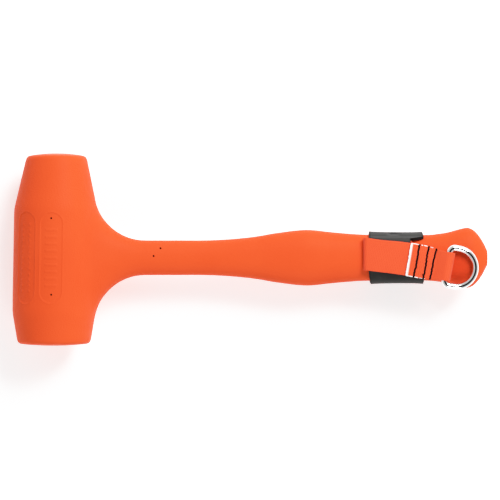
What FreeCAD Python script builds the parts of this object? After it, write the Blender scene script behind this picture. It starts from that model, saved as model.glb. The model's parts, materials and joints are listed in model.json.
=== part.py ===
import FreeCAD, Part
import math
import os

# A dead blow mallet: an orange urethane moulding cast round a shot-filled steel
# canister and a steel handle rod, with a tool tether of webbing and a D-ring held to
# the grip by a rubber sleeve. All lengths are in millimetres and all angles in degrees.
#
# The pieces are laid out from the crossing of the head's axis and the handle's axis:
# X runs along the handle to the butt, Y along the head to the narrow face, Z up.
# save() then moves them so that the origin lies under the middle of the mallet, on the
# surface that the barrel rests on.

# Head, a barrel that tapers to a crowned face at each end
barrel_radius = 31.7
narrow_shoulder = 37.0
narrow_face_reach = 79.6
narrow_face_radius = 22.2
narrow_crown_rise = 2.0
wide_shoulder = 41.4
wide_face_reach = 67.0
wide_face_radius = 27.7
wide_crown_rise = 1.6
face_corner_rounding = 3.0
shoulder_rounding = 25.0

# Handle: distance from the head's axis, half width across Y, half thickness across Z
handle_stations = [
    (69.5, 13.3, 10.5),
    (92.0, 13.3, 10.5),
    (116.0, 13.35, 10.6),
    (134.0, 14.2, 11.1),
    (152.5, 16.05, 12.1),
    (171.0, 19.1, 13.1),
    (192.5, 21.3, 13.7),
    (212.0, 19.5, 13.1),
    (234.0, 17.8, 12.3),
    (262.0, 17.4, 12.0),
    (285.0, 17.5, 12.0),
    (299.0, 19.2, 12.2),
    (308.0, 21.6, 12.5),
    (314.5, 23.1, 12.6),
]
handle_squareness = 2.4
butt_round_length = 15.8
butt_end_width_share = 0.23
butt_end_thickness_share = 0.45
butt_edge_rounding = 1.5
butt_sections = 5

# Flare that joins the handle to the barrel
flare_radius = 38.9
flare_start = 26.0
flare_extra_thickness = 8.0
flare_arc_share = 0.985
flare_sections = 7

# Steel canister, its end caps and its shot
canister_outer_radius = 21.1
canister_wall = 3.6
canister_narrow_end = 58.0
canister_wide_end = 50.0
cap_plate_thickness = 4.0
cap_plug_length = 5.0
cap_plug_clearance = 0.05
ball_diameter = 6.9
ball_gap = 0.05
ball_wall_clearance = 0.1
shot_fill_share = 0.79

# Steel rod, welded to the canister
rod_radius = 6.35
rod_end = 311.0
weld_leg = 4.0
weld_root_depth = 1.5

# Holes left by the pins that centre the steel in the mould
pin_hole_radius = 0.75
pin_hole_overlap = 1.0
head_pin_x = -0.3
head_pin_ys = (29.9, -27.8)
side_pin_y = 4.3
neck_rod_pin_x = 76.2
neck_rod_pin_y = 1.3
neck_side_pin_x = 81.4

# Tether sleeve and webbing
sleeve_start = 239.3
sleeve_length = 42.7
sleeve_wall = 2.4
sleeve_notch_depth = 10.6
webbing_width = 24.2
webbing_thickness = 1.5
anchor_length = 38.0
fold_ahead_of_sleeve = 1.1
strap_centre_y = 2.75
strap_turn = 9.6
strap_lie_gap = 0.3
strap_length_to_bar = 61.0
strap_level_length = 43.0
strap_drop = 1.65
layers_part_per_wire_radius = 3.42
bar_clearance = 0.5
flap_length = 28.4
end_seal_length = 0.9
fold_reach = 2.0
fold_gap = 0.3

# Thread rows through the flap
row_places = (38.6, 45.6, 51.8)
stitches_per_row = 12
stitch_gap = 0.3
stitch_width = 0.5
stitch_height = 0.4
stitch_slant = 28.0
stitch_row_margin = 1.2

# D-ring
ring_wire_radius = 2.4
ring_side_clearance = 0.35
ring_depth_to_arc = 23.3
ring_corner_per_wire_radius = 1.25
ring_tilt = 4.0
bar_loop_gap = 0.3

# Fit between the moulding and what is cast into it, and between pieces that touch
cast_clearance = 0.05

# Points round each section of the handle, and a length greater than the mallet's
section_points = 24
big = 400.0

# Sizes that follow from the ones above
neck_x, neck_half_width, neck_half_thickness = handle_stations[0]
butt_x, butt_half_width, butt_half_thickness = handle_stations[-1]
handle_end = butt_x + butt_round_length
canister_inner_radius = canister_outer_radius - canister_wall
shot_room_length = canister_narrow_end + canister_wide_end - 2 * cap_plug_length
ball_pitch = ball_diameter + ball_gap
shot_layers = int(shot_fill_share * shot_room_length / ball_pitch)
fold_x = sleeve_start - fold_ahead_of_sleeve
sleeve_end = sleeve_start + sleeve_length
over_webbing = cast_clearance + webbing_thickness + cast_clearance
turn_radians = math.radians(strap_turn)
bar_x = fold_x + strap_length_to_bar * math.cos(turn_radians)
bar_y = strap_centre_y - strap_length_to_bar * math.sin(turn_radians)
loop_radius = ring_wire_radius + bar_loop_gap
layers_part = strap_length_to_bar - layers_part_per_wire_radius * ring_wire_radius
flap_end = strap_length_to_bar - flap_length


def vector(x, y, z):
    return FreeCAD.Vector(x, y, z)


x_axis = vector(1, 0, 0)
y_axis = vector(0, 1, 0)
z_axis = vector(0, 0, 1)

middle = vector((handle_end - barrel_radius) / 2, (narrow_face_reach - wide_face_reach) / 2, 0)
rest_shift = vector(0, 0, barrel_radius) - middle


def save(name, shape):
    """Writes one node's solid, moved to the mallet's resting frame."""
    moved = shape.copy()
    moved.translate(rest_shift)
    moved.exportStep("parts/" + name + ".step")
    print(name, len(moved.Solids), round(moved.Volume, 1), moved.isValid())


def slab(x_low, x_high, y_low, y_high, z_low, z_high):
    corner = vector(x_low, y_low, z_low)
    return Part.makeBox(x_high - x_low, y_high - y_low, z_high - z_low, corner)


def rounded_revolve(edges, rounded):
    """Turns a profile about the head's axis and rounds the rings at the given (radius, y)."""
    turned = Part.Face(Part.Wire(edges)).revolve(vector(0, 0, 0), y_axis, 360)
    body = Part.Solid(turned.Shells[0]) if not turned.Solids else turned.Solids[0]
    for ring_radius, ring_y, rounding in rounded:
        found = []
        for edge in body.Edges:
            box = edge.BoundBox
            flat = box.YLength < 1e-3 and abs(box.YMin - ring_y) < 1e-3
            if flat and abs(box.XMax - ring_radius) < 1e-3:
                found.append(edge)
        body = body.makeFillet(rounding, found)
    return body


def head_blank():
    """The head's outer shape: crown, taper, barrel, taper, crown."""
    wide_corner_y = -wide_face_reach + wide_crown_rise
    narrow_corner_y = narrow_face_reach - narrow_crown_rise
    wide_apex = vector(0, -wide_face_reach, 0)
    wide_corner = vector(wide_face_radius, wide_corner_y, 0)
    wide_edge = vector(barrel_radius, -wide_shoulder, 0)
    narrow_edge = vector(barrel_radius, narrow_shoulder, 0)
    narrow_corner = vector(narrow_face_radius, narrow_corner_y, 0)
    narrow_apex = vector(0, narrow_face_reach, 0)
    edges = [
        crown_arc(wide_apex, wide_corner),
        Part.makeLine(wide_corner, wide_edge),
        Part.makeLine(wide_edge, narrow_edge),
        Part.makeLine(narrow_edge, narrow_corner),
        crown_arc(narrow_apex, narrow_corner),
        Part.makeLine(narrow_apex, wide_apex),
    ]
    rounded = [
        (wide_face_radius, wide_corner_y, face_corner_rounding),
        (narrow_face_radius, narrow_corner_y, face_corner_rounding),
        (barrel_radius, -wide_shoulder, shoulder_rounding),
        (barrel_radius, narrow_shoulder, shoulder_rounding),
    ]
    return rounded_revolve(Part.__sortEdges__(edges), rounded)


def crown_arc(apex, corner):
    """The arc of a crowned face, from its apex on the axis to its corner, square to the axis."""
    rise = apex.y - corner.y
    radius = (corner.x ** 2 + rise ** 2) / (2 * rise)
    centre_y = apex.y - radius
    half_turn = math.asin(corner.x / abs(radius)) / 2
    reach = abs(radius) * math.sin(half_turn)
    height = centre_y + radius * math.cos(half_turn)
    return Part.Arc(apex, vector(reach, height, 0), corner).toShape()


def superellipse_height(across, half_width, half_thickness):
    share = min(abs(across) / half_width, 1.0)
    return half_thickness * (1 - share ** handle_squareness) ** (1 / handle_squareness)


def section_wire(x, half_width, half_thickness):
    """One oval section of the handle, square to its axis."""
    points = []
    for step in range(section_points):
        turn = 2 * math.pi * step / section_points
        power = 2 / handle_squareness
        across = math.copysign(abs(math.cos(turn)) ** power, math.cos(turn))
        up = math.copysign(abs(math.sin(turn)) ** power, math.sin(turn))
        points.append(vector(x, half_width * across, half_thickness * up))
    curve = Part.BSplineCurve()
    curve.interpolate(Points=points, PeriodicFlag=True)
    return Part.Wire(curve.toShape())


def flare_stations():
    """Sections from inside the barrel to the neck: the width follows an arc."""
    found = []
    for step in range(flare_sections):
        away = (neck_x - flare_start) * (1 - step / flare_sections)
        along_arc = min(away, flare_radius * flare_arc_share)
        arc = math.sqrt(flare_radius ** 2 - along_arc ** 2)
        half_width = neck_half_width + flare_radius - arc
        rise = flare_extra_thickness * (away / (neck_x - flare_start)) ** 2
        found.append((neck_x - away, half_width, neck_half_thickness + rise))
    return found


def butt_stations():
    """Sections that close the butt: each half size falls along a parabola."""
    found = []
    for step in range(butt_sections):
        share = (step + 1) / butt_sections
        half_width = butt_half_width * (1 - (1 - butt_end_width_share) * share ** 2)
        narrowing = (1 - butt_end_thickness_share) * share ** 2
        half_thickness = butt_half_thickness * (1 - narrowing)
        found.append((butt_x + butt_round_length * share, half_width, half_thickness))
    return found


def handle_blank(extra):
    """The whole handle and flare, made larger by extra on every side."""
    wires = []
    for x, half_width, half_thickness in flare_stations() + handle_stations + butt_stations():
        wires.append(section_wire(x, half_width + extra, half_thickness + extra))
    return Part.makeLoft(wires, True, False)


def handle_slice(extra, x_low, x_high):
    return handle_blank(extra).common(slab(x_low, x_high, -big, big, -big, big))


def canister_parts():
    """The tube, closed by two caps that plug its ends."""
    length = canister_narrow_end + canister_wide_end
    start = vector(0, -canister_wide_end, 0)
    tube = Part.makeCylinder(canister_outer_radius, length, start, y_axis)
    tube = tube.cut(Part.makeCylinder(canister_inner_radius, length, start, y_axis))
    plug_radius = canister_inner_radius - cap_plug_clearance
    narrow_start = vector(0, canister_narrow_end, 0)
    wide_start = vector(0, -canister_wide_end, 0)
    narrow = Part.makeCylinder(canister_outer_radius, cap_plate_thickness, narrow_start, y_axis)
    narrow = narrow.fuse(Part.makeCylinder(plug_radius, cap_plug_length, narrow_start, -y_axis))
    wide = Part.makeCylinder(canister_outer_radius, cap_plate_thickness, wide_start, -y_axis)
    wide = wide.fuse(Part.makeCylinder(plug_radius, cap_plug_length, wide_start, y_axis))
    return tube, narrow.removeSplitter(), wide.removeSplitter()


def shot_balls():
    """Layers of balls, each a centre ball with as many hexagons round it as the bore takes."""
    radius = ball_diameter / 2
    first_y = -canister_wide_end + cap_plug_length + ball_wall_clearance + radius
    furthest = canister_inner_radius - ball_wall_clearance - radius
    hexagons = int(2 * furthest / ball_pitch) + 1
    places = []
    for column in range(-hexagons, hexagons + 1):
        for row in range(-hexagons, hexagons + 1):
            x = ball_pitch * (column + row / 2)
            z = ball_pitch * row * math.sqrt(3) / 2
            if math.hypot(x, z) <= furthest:
                places.append((x, z))
    balls = []
    for layer in range(shot_layers):
        y = first_y + layer * ball_pitch
        balls += [Part.makeSphere(radius, vector(x, y, z)) for x, z in places]
    return Part.makeCompound(balls)


def steel_rod(clearance):
    rod = Part.makeCylinder(rod_radius + clearance, rod_end + clearance, vector(0, 0, 0), x_axis)
    core = Part.makeCylinder(canister_outer_radius - clearance, big, vector(0, -big / 2, 0), y_axis)
    return rod.cut(core)


def weld_bead(clearance):
    """A fillet weld round the rod where it meets the canister."""
    leg = weld_leg + clearance
    canister_face = canister_outer_radius - weld_root_depth
    toe = canister_outer_radius + leg
    root = vector(canister_face, 0, 0)
    outer = vector(canister_face, rod_radius + leg, 0)
    corner = vector(canister_outer_radius, rod_radius + leg, 0)
    tip = vector(toe, rod_radius, 0)
    end = vector(toe, 0, 0)
    face = Part.Face(Part.makePolygon([root, outer, corner, tip, end, root]))
    bead = face.revolve(vector(0, 0, 0), x_axis, 360).Solids[0]
    core = Part.makeCylinder(canister_outer_radius, big, vector(0, -big / 2, 0), y_axis)
    bead = bead.cut(core)
    rod = Part.makeCylinder(rod_radius, big, vector(0, 0, 0), x_axis)
    return bead.cut(rod) if clearance == 0 else bead


def steel_space():
    """The space that the cast-in steel takes up inside the moulding."""
    radius = canister_outer_radius + cast_clearance
    low = -canister_wide_end - cap_plate_thickness - cast_clearance
    high = canister_narrow_end + cap_plate_thickness + cast_clearance
    space = Part.makeCylinder(radius, high - low, vector(0, low, 0), y_axis)
    return space.fuse([steel_rod(cast_clearance), weld_bead(cast_clearance)])


def pin_holes():
    """Round holes from the surface down to the steel, front and back alike."""
    holes = []
    canister_top = canister_outer_radius - pin_hole_overlap
    for side in (z_axis, -z_axis):
        for y in head_pin_ys:
            start = side * canister_top + vector(head_pin_x, y, 0)
            holes.append(Part.makeCylinder(pin_hole_radius, barrel_radius, start, side))
        start = side * (rod_radius - pin_hole_overlap)
        start = start + vector(neck_rod_pin_x, neck_rod_pin_y, 0)
        holes.append(Part.makeCylinder(pin_hole_radius, barrel_radius, start, side))
        beside_rod = rod_radius + pin_hole_radius + cast_clearance * 2
        start = side * pin_hole_radius + vector(neck_side_pin_x, beside_rod, 0)
        holes.append(Part.makeCylinder(pin_hole_radius, barrel_radius, start, side))
    start = vector(-canister_top, side_pin_y, 0)
    holes.append(Part.makeCylinder(pin_hole_radius, barrel_radius, start, -x_axis))
    return holes


def moulded_body():
    handle = handle_blank(0)
    end_edges = []
    for edge in handle.Edges:
        if edge.BoundBox.XMin > handle_end - 1e-3:
            end_edges.append(edge)
    handle = handle.makeFillet(butt_edge_rounding, end_edges)
    body = head_blank().fuse(handle)
    body = body.cut(steel_space())
    return body.cut(Part.makeCompound(pin_holes())).removeSplitter()


def webbing_band(clearance):
    """The strip of room over the grip that the anchored webbing takes, from y low to y high."""
    half = webbing_width / math.cos(math.radians(strap_turn)) / 2 + clearance
    return strap_centre_y - half, strap_centre_y + half


def webbing_anchor():
    """The end of the webbing that the sleeve traps against the grip."""
    y_low, y_high = webbing_band(0)
    lowest = cast_clearance
    skin = handle_blank(lowest + webbing_thickness).cut(handle_blank(lowest))
    return skin.common(slab(fold_x, fold_x + anchor_length, y_low, y_high, 0, big))


def tether_sleeve():
    """A rubber sleeve shrunk over the grip, raised where it covers the webbing.

    The end towards the butt is cut back over the webbing, which shows in the notch.
    """
    y_low, y_high = webbing_band(cast_clearance)
    outer = handle_slice(cast_clearance + sleeve_wall, sleeve_start, sleeve_end)
    raised = handle_slice(over_webbing + sleeve_wall, sleeve_start, sleeve_end)
    room = slab(sleeve_start, sleeve_end, y_low - sleeve_wall / 2, y_high + sleeve_wall / 2, 0, big)
    outer = outer.fuse(raised.common(room))
    webbing_room = handle_slice(over_webbing, sleeve_start, sleeve_end)
    webbing_end = fold_x + anchor_length + cast_clearance
    webbing_room = webbing_room.common(slab(fold_x, webbing_end, y_low, y_high, 0, big))
    notch = slab(sleeve_end - sleeve_notch_depth, sleeve_end + sleeve_wall, y_low, y_high, 0, big)
    return outer.cut(handle_blank(cast_clearance)).cut(webbing_room).cut(notch)


def grip_sizes(x):
    """Half width and half thickness of the handle between two stations."""
    for first, second in zip(handle_stations, handle_stations[1:]):
        if first[0] <= x <= second[0]:
            share = (x - first[0]) / (second[0] - first[0])
            width = first[1] + (second[1] - first[1]) * share
            thickness = first[2] + (second[2] - first[2]) * share
            return width, thickness
    raise ValueError("no handle station on both sides of " + str(x))


def curve_through(points):
    curve = Part.BSplineCurve()
    curve.interpolate(Points=points)
    return curve.toShape()


sleeve_top = grip_sizes(sleeve_start)[1] + over_webbing + sleeve_wall
layer_height = sleeve_top + strap_lie_gap + webbing_thickness / 2
bar_height = grip_sizes(bar_x)[1] + bar_clearance + webbing_thickness + loop_radius


def webbing_fold():
    """The turn of the webbing ahead of the sleeve, from the anchored end up to the strap."""
    y_low, y_high = webbing_band(0)
    half_width, half_thickness = grip_sizes(fold_x)
    middle_skin = cast_clearance + webbing_thickness / 2
    sections = []
    count = 8
    for step in range(count + 1):
        y = y_low + (y_high - y_low) * step / count
        low = superellipse_height(y, half_width + middle_skin, half_thickness + middle_skin)
        centre = (layer_height + low) / 2
        rise = (layer_height - low) / 2
        outer = half_turn_points(y, centre, rise + webbing_thickness / 2, webbing_thickness / 2)
        inner = half_turn_points(y, centre, rise - webbing_thickness / 2, -webbing_thickness / 2)
        edges = [
            curve_through(outer),
            Part.makeLine(outer[-1], inner[-1]),
            curve_through(inner),
            Part.makeLine(inner[0], outer[0]),
        ]
        sections.append(Part.Wire(Part.__sortEdges__(edges)))
    return Part.makeLoft(sections, True, False)


def half_turn_points(y, centre, rise, outwards):
    """Points of a half ellipse that bulges towards the head."""
    reach = fold_reach + outwards
    points = []
    count = 8
    for step in range(count + 1):
        turn = math.pi * step / count
        points.append(vector(fold_x - reach * math.sin(turn), y, centre + rise * math.cos(turn)))
    return points


def to_strap_place(shape):
    """Turns a shape made along the strap's own line to lie where the strap lies."""
    shape.rotate(vector(0, 0, 0), z_axis, -strap_turn)
    shape.translate(vector(fold_x, strap_centre_y, 0))
    return shape


def webbing_layer(line):
    """A layer of webbing along (distance, height) points of its middle."""
    half = webbing_thickness / 2
    over = [vector(along, -webbing_width / 2, height + half) for along, height in line]
    under = [vector(along, -webbing_width / 2, height - half) for along, height in reversed(line)]
    face = Part.Face(Part.makePolygon(over + under + over[:1]))
    return face.extrude(vector(0, webbing_width, 0))


def flap_line():
    """The middle of the flap, from its sewn end to the top of the loop round the bar."""
    level = layer_height + webbing_thickness
    top = bar_height + loop_radius + webbing_thickness / 2
    return [
        (flap_end, level),
        (strap_level_length, level),
        (layers_part, level - strap_drop),
        (strap_length_to_bar, top),
    ]


def webbing_strap():
    """The free webbing: out to the ring's bar, round it, and back on itself as a flap."""
    bottom = bar_height - loop_radius - webbing_thickness / 2
    behind_fold = -webbing_width / 4
    under = [
        (behind_fold, layer_height),
        (strap_level_length, layer_height),
        (layers_part, layer_height - strap_drop),
        (strap_length_to_bar, bottom),
    ]
    start = vector(strap_length_to_bar, -webbing_width / 2, bar_height)
    loop = Part.makeCylinder(loop_radius + webbing_thickness, webbing_width, start, y_axis)
    loop = loop.cut(Part.makeCylinder(loop_radius, webbing_width, start, y_axis))
    loop = loop.common(slab(strap_length_to_bar, big, -big, big, -big, big))
    strap = webbing_layer(under).fuse([webbing_layer(flap_line()), loop]).removeSplitter()
    strap = to_strap_place(strap)
    return strap.common(slab(fold_x + fold_gap, big, -big, big, -big, big))


def webbing_end_seal():
    """The white band where the webbing's cut end is sealed."""
    level = layer_height + webbing_thickness
    return to_strap_place(webbing_layer([(flap_end - end_seal_length, level), (flap_end, level)]))


def flap_height_and_slope(along):
    """Height of the flap's upper face, and how steeply it climbs, in degrees."""
    for (start, low), (end, high) in zip(flap_line(), flap_line()[1:]):
        if start <= along <= end:
            climb = (high - low) / (end - start)
            height = low + climb * (along - start) + webbing_thickness / 2
            return height, math.degrees(math.atan(climb))
    raise ValueError("the row is off the flap")


def stitch_row(along):
    """A row of slanting thread stitches across the flap."""
    height, slope = flap_height_and_slope(along)
    run = webbing_width - 2 * stitch_row_margin
    pitch = run / stitches_per_row
    length = (pitch - stitch_gap) / math.cos(math.radians(stitch_slant))
    stitches = []
    for count in range(stitches_per_row):
        corner = vector(-stitch_width / 2, -length / 2, 0)
        stitch = Part.makeBox(stitch_width, length, stitch_height, corner)
        slant = stitch_slant if count % 2 else -stitch_slant
        stitch.rotate(vector(0, 0, 0), z_axis, slant)
        stitch.rotate(vector(0, 0, 0), y_axis, -slope)
        across = -run / 2 + pitch * (count + 0.5)
        stitch.translate(vector(along, across, height + cast_clearance))
        stitches.append(to_strap_place(stitch))
    return Part.makeCompound(stitches)


def d_ring():
    """A D of round wire: a straight bar, two short legs and a half circle."""
    half = webbing_width / 2 + ring_side_clearance + ring_wire_radius
    leg_end = ring_depth_to_arc - half
    corner = ring_corner_per_wire_radius * ring_wire_radius
    inward = corner * (1 - math.cos(math.pi / 4))
    edges = [
        Part.makeLine(vector(0, 0, 0), vector(0, half - corner, 0)),
        ring_corner((0, half - corner), (inward, half - inward), (corner, half)),
        Part.makeLine(vector(corner, half, 0), vector(leg_end, half, 0)),
        ring_corner((leg_end, half), (ring_depth_to_arc, 0), (leg_end, -half)),
        Part.makeLine(vector(leg_end, -half, 0), vector(corner, -half, 0)),
        ring_corner((corner, -half), (inward, inward - half), (0, corner - half)),
        Part.makeLine(vector(0, corner - half, 0), vector(0, 0, 0)),
    ]
    path = Part.Wire(edges)
    section = Part.Wire(Part.makeCircle(ring_wire_radius, vector(0, 0, 0), y_axis))
    ring = path.makePipeShell([section], True, True)
    ring.rotate(vector(0, 0, 0), y_axis, ring_tilt)
    ring.rotate(vector(0, 0, 0), z_axis, -strap_turn)
    ring.translate(vector(bar_x, bar_y, bar_height))
    return ring


def ring_corner(start, middle_point, end):
    points = [vector(x, y, 0) for x, y in (start, middle_point, end)]
    return Part.Arc(*points).toShape()


os.makedirs("parts", exist_ok=True)
canister_tube, canister_cap_narrow, canister_cap_wide = canister_parts()
save("moulded_body", moulded_body())
save("canister_tube", canister_tube)
save("canister_cap_narrow", canister_cap_narrow)
save("canister_cap_wide", canister_cap_wide)
save("shot_charge", shot_balls())
save("handle_rod", steel_rod(0))
save("rod_weld", weld_bead(0))
save("tether_sleeve", tether_sleeve())
save("webbing_anchor", webbing_anchor())
save("webbing_fold", webbing_fold())
save("webbing_strap", webbing_strap())
save("webbing_end_seal", webbing_end_seal())
for name, along in zip(("stitch_row_first", "stitch_row_second", "stitch_row_third"), row_places):
    save(name, stitch_row(along))
save("d_ring", d_ring())
charge_length = shot_layers * ball_pitch
print("shot travel", round(shot_room_length - charge_length - 2 * ball_wall_clearance, 2))
print("hinge at the fold", vector(fold_x, strap_centre_y, layer_height - fold_reach) + rest_shift)
print("ring bar", vector(bar_x, bar_y, bar_height) + rest_shift)
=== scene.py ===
import bisect
import bmesh
import bpy
import json
import math
import random
from mathutils import Matrix, Vector, noise


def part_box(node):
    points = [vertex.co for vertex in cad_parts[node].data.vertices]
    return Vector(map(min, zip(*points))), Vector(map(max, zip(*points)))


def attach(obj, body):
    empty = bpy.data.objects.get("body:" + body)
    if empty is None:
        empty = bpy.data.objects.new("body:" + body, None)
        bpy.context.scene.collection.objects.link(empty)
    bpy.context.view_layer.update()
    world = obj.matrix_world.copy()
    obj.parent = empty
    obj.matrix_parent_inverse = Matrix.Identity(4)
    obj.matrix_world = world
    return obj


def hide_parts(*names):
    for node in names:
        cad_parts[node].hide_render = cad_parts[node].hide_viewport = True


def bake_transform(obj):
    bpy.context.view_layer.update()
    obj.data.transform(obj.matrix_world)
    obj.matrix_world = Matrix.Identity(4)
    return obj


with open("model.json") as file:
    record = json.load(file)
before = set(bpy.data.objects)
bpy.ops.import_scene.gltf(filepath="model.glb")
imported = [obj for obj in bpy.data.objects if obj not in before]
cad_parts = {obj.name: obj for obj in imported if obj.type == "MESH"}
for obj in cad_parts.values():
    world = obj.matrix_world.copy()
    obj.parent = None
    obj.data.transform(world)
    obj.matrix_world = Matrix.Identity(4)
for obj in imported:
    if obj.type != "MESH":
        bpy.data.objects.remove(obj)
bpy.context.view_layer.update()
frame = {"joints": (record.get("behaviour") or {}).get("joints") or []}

# A dead blow mallet that lies on a pale surface: an orange urethane moulding over a steel
# core, and a tool tether of webbing and a D-ring that a rubber sleeve holds on the grip.
# Lengths are in metres, and X runs from the head to the butt.

# ---------------------------------------------------------------------------------------
# Camera: straight above the mallet, far away through a long lens, so that its outline is
# nearly square on.
body_low, body_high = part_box("moulded_body")
rod_low, rod_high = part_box("handle_rod")
tube_low, tube_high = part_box("canister_tube")
handle_y = (rod_low.y + rod_high.y) / 2
handle_z = (rod_low.z + rod_high.z) / 2
head_x = (tube_low.x + tube_high.x) / 2
barrel_radius = head_x - body_low.x

picture_width = 0.3812
camera_distance = 2.5
camera_data = bpy.data.cameras.new("camera")
camera_data.sensor_width = 36
camera_data.lens = camera_data.sensor_width * camera_distance / picture_width
camera = bpy.data.objects.new("camera", camera_data)
camera.location = (0.0001, -0.0004, handle_z + camera_distance)
bpy.context.scene.collection.objects.link(camera)
bpy.context.scene.camera = camera

# ---------------------------------------------------------------------------------------
# Stage: a white table in a soft white room. The light comes from soft lamps low round the
# mallet, the strongest to the upper right, and little comes from straight above. The tone
# curve bends over softly towards white, as film does.
scene = bpy.context.scene
scene.view_settings.view_transform = "Standard"
scene.view_settings.use_curve_mapping = True
tones = scene.view_settings.curve_mapping
tones.clip_max_x = 2.0
tone_points = tones.curves[3].points
tone_points[0].location = (0.0, 0.0)
tone_points[1].location = (1.4, 1.0)
for brightness, shown in ((0.5, 0.5), (0.8, 0.78), (1.0, 0.89), (1.2, 0.97)):
    tone_points.new(brightness, shown)
tones.update()


def soft_lamp(name, place, size, power):
    """A square soft lamp that points at the middle of the mallet."""
    data = bpy.data.lights.new(name, "AREA")
    data.size = size
    data.energy = power
    lamp = bpy.data.objects.new(name, data)
    lamp.location = place
    towards = Vector((0, 0, handle_z)) - lamp.location
    lamp.rotation_mode = "QUATERNION"
    lamp.rotation_quaternion = towards.to_track_quat("-Z", "Y")
    scene.collection.objects.link(lamp)


soft_lamp("key_lamp", (0.8, 1.1, 1.5), 0.9, 44)
soft_lamp("fill_lamp_low", (0.3, -1.5, 1.3), 1.0, 12)


class Flow:
    """An output of a material's node. Arithmetic on it adds Math nodes."""

    def __init__(self, tree, socket):
        self.tree = tree
        self.socket = socket

    def node(self, kind, settings, sockets, output=0):
        """A new node: its settings are set first, then the values or links of its sockets."""
        made = self.tree.nodes.new(kind)
        for name, value in settings.items():
            setattr(made, name, value)
        for name, value in sockets.items():
            if isinstance(value, Flow):
                self.tree.links.new(value.socket, made.inputs[name])
            else:
                made.inputs[name].default_value = value
        return Flow(self.tree, made.outputs[output])

    def other_output(self, number):
        """Another output of the node that this one comes from."""
        return Flow(self.tree, self.socket.node.outputs[number])

    def maths(self, operation, *others):
        values = dict(enumerate((self,) + others))
        return self.node("ShaderNodeMath", {"operation": operation}, values)

    def __add__(self, other):
        return self.maths("ADD", other)

    __radd__ = __add__

    def __mul__(self, other):
        return self.maths("MULTIPLY", other)

    __rmul__ = __mul__

    def __sub__(self, other):
        return self.maths("SUBTRACT", other)

    def __rsub__(self, other):
        return (self * -1) + other

    def ramp(self, low, high, smooth=True):
        """0 below low, 1 above high, and a smooth step between them."""
        kind = "SMOOTHSTEP" if smooth else "LINEAR"
        sockets = {"Value": self, "From Min": low, "From Max": high}
        return self.node("ShaderNodeMapRange", {"interpolation_type": kind}, sockets)

    def mix(self, start, end):
        """The colour start where this is 0, and end where it is 1."""
        settings = {"data_type": "RGBA"}
        return self.node("ShaderNodeMix", settings, {0: self, 6: start, 7: end}, output=2)


def new_material(name, roughness, metallic=0.0):
    """A material with a Principled surface, and the Object coordinates to pattern it with."""
    material = bpy.data.materials.new(name)
    material.use_nodes = True
    tree = material.node_tree
    surface = tree.nodes["Principled BSDF"]
    surface.inputs["Roughness"].default_value = roughness
    surface.inputs["Metallic"].default_value = metallic
    coordinates = tree.nodes.new("ShaderNodeTexCoord")
    return material, surface, Flow(tree, coordinates.outputs["Object"])


def feed(surface, name, flow):
    flow.tree.links.new(flow.socket, surface.inputs[name])


# The room is white, with a darker part of the ceiling over the mallet and to one side.
world = bpy.data.worlds.new("room")
world.use_nodes = True
background = world.node_tree.nodes["Background"]
direction = world.node_tree.nodes.new("ShaderNodeTexCoord").outputs["Generated"]
dark_ceiling = Vector((0.19, -0.17, 1)).normalized()
towards = Flow(world.node_tree, direction).node(
    "ShaderNodeVectorMath", {"operation": "DOT_PRODUCT"},
    {0: Flow(world.node_tree, direction), 1: dark_ceiling}, output="Value",
)
room_light = towards.ramp(0.79, 0.86).mix((1, 1, 1, 1), (0.03, 0.03, 0.03, 1))
feed(background, "Color", room_light)
background.inputs["Strength"].default_value = 0.66
scene.world = world

# The white table top, lit from below, so that it shows only a faint shadow.
table_mesh = bpy.data.meshes.new("table_top")
bm = bmesh.new()
bmesh.ops.create_grid(bm, x_segments=1, y_segments=1, size=3)
bmesh.ops.translate(bm, vec=(0, 0, -0.0005), verts=bm.verts)
bm.to_mesh(table_mesh)
table_top = bpy.data.objects.new("table_top", table_mesh)
scene.collection.objects.link(table_top)
white, surface, place = new_material("white_table", 0.6)
surface.inputs["Base Color"].default_value = (0.92, 0.92, 0.92, 1)
surface.inputs["Emission Color"].default_value = (1, 1, 1, 1)
surface.inputs["Emission Strength"].default_value = 0.45
table_mesh.materials.append(white)


# ---------------------------------------------------------------------------------------
# Moulded body: head, flare and handle, one casting of orange urethane round the steel.
# The sides have the mould's fine pebble grain, and the two striking faces are smooth.
MM = 0.001
narrow_reach = (body_high.y - handle_y) / MM
wide_reach = (handle_y - body_low.y) / MM
barrel = barrel_radius / MM
narrow_shoulder, narrow_face_radius, narrow_rise = 37.0, 22.8, 2.2
wide_shoulder, wide_face_radius, wide_rise = 41.4, 27.7, 1.6
face_corner_offset = 2.4
shoulder_offset = 3.0


def lean(y):
    """How far the head's own axis leans towards the handle, from its wide shoulder on."""
    return 0.0165 * max(y + wide_shoulder, 0.0)


def crown(face_radius, reach, rise, steps=8):
    """Points of a crowned face's arc, from its corner to its middle, as (radius, y)."""
    sphere = (face_radius ** 2 + rise ** 2) / (2 * rise)
    points = []
    for step in range(steps + 1):
        radius = face_radius * (1 - step / steps)
        points.append((radius, reach - sphere + math.sqrt(sphere ** 2 - radius ** 2)))
    return points


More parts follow.
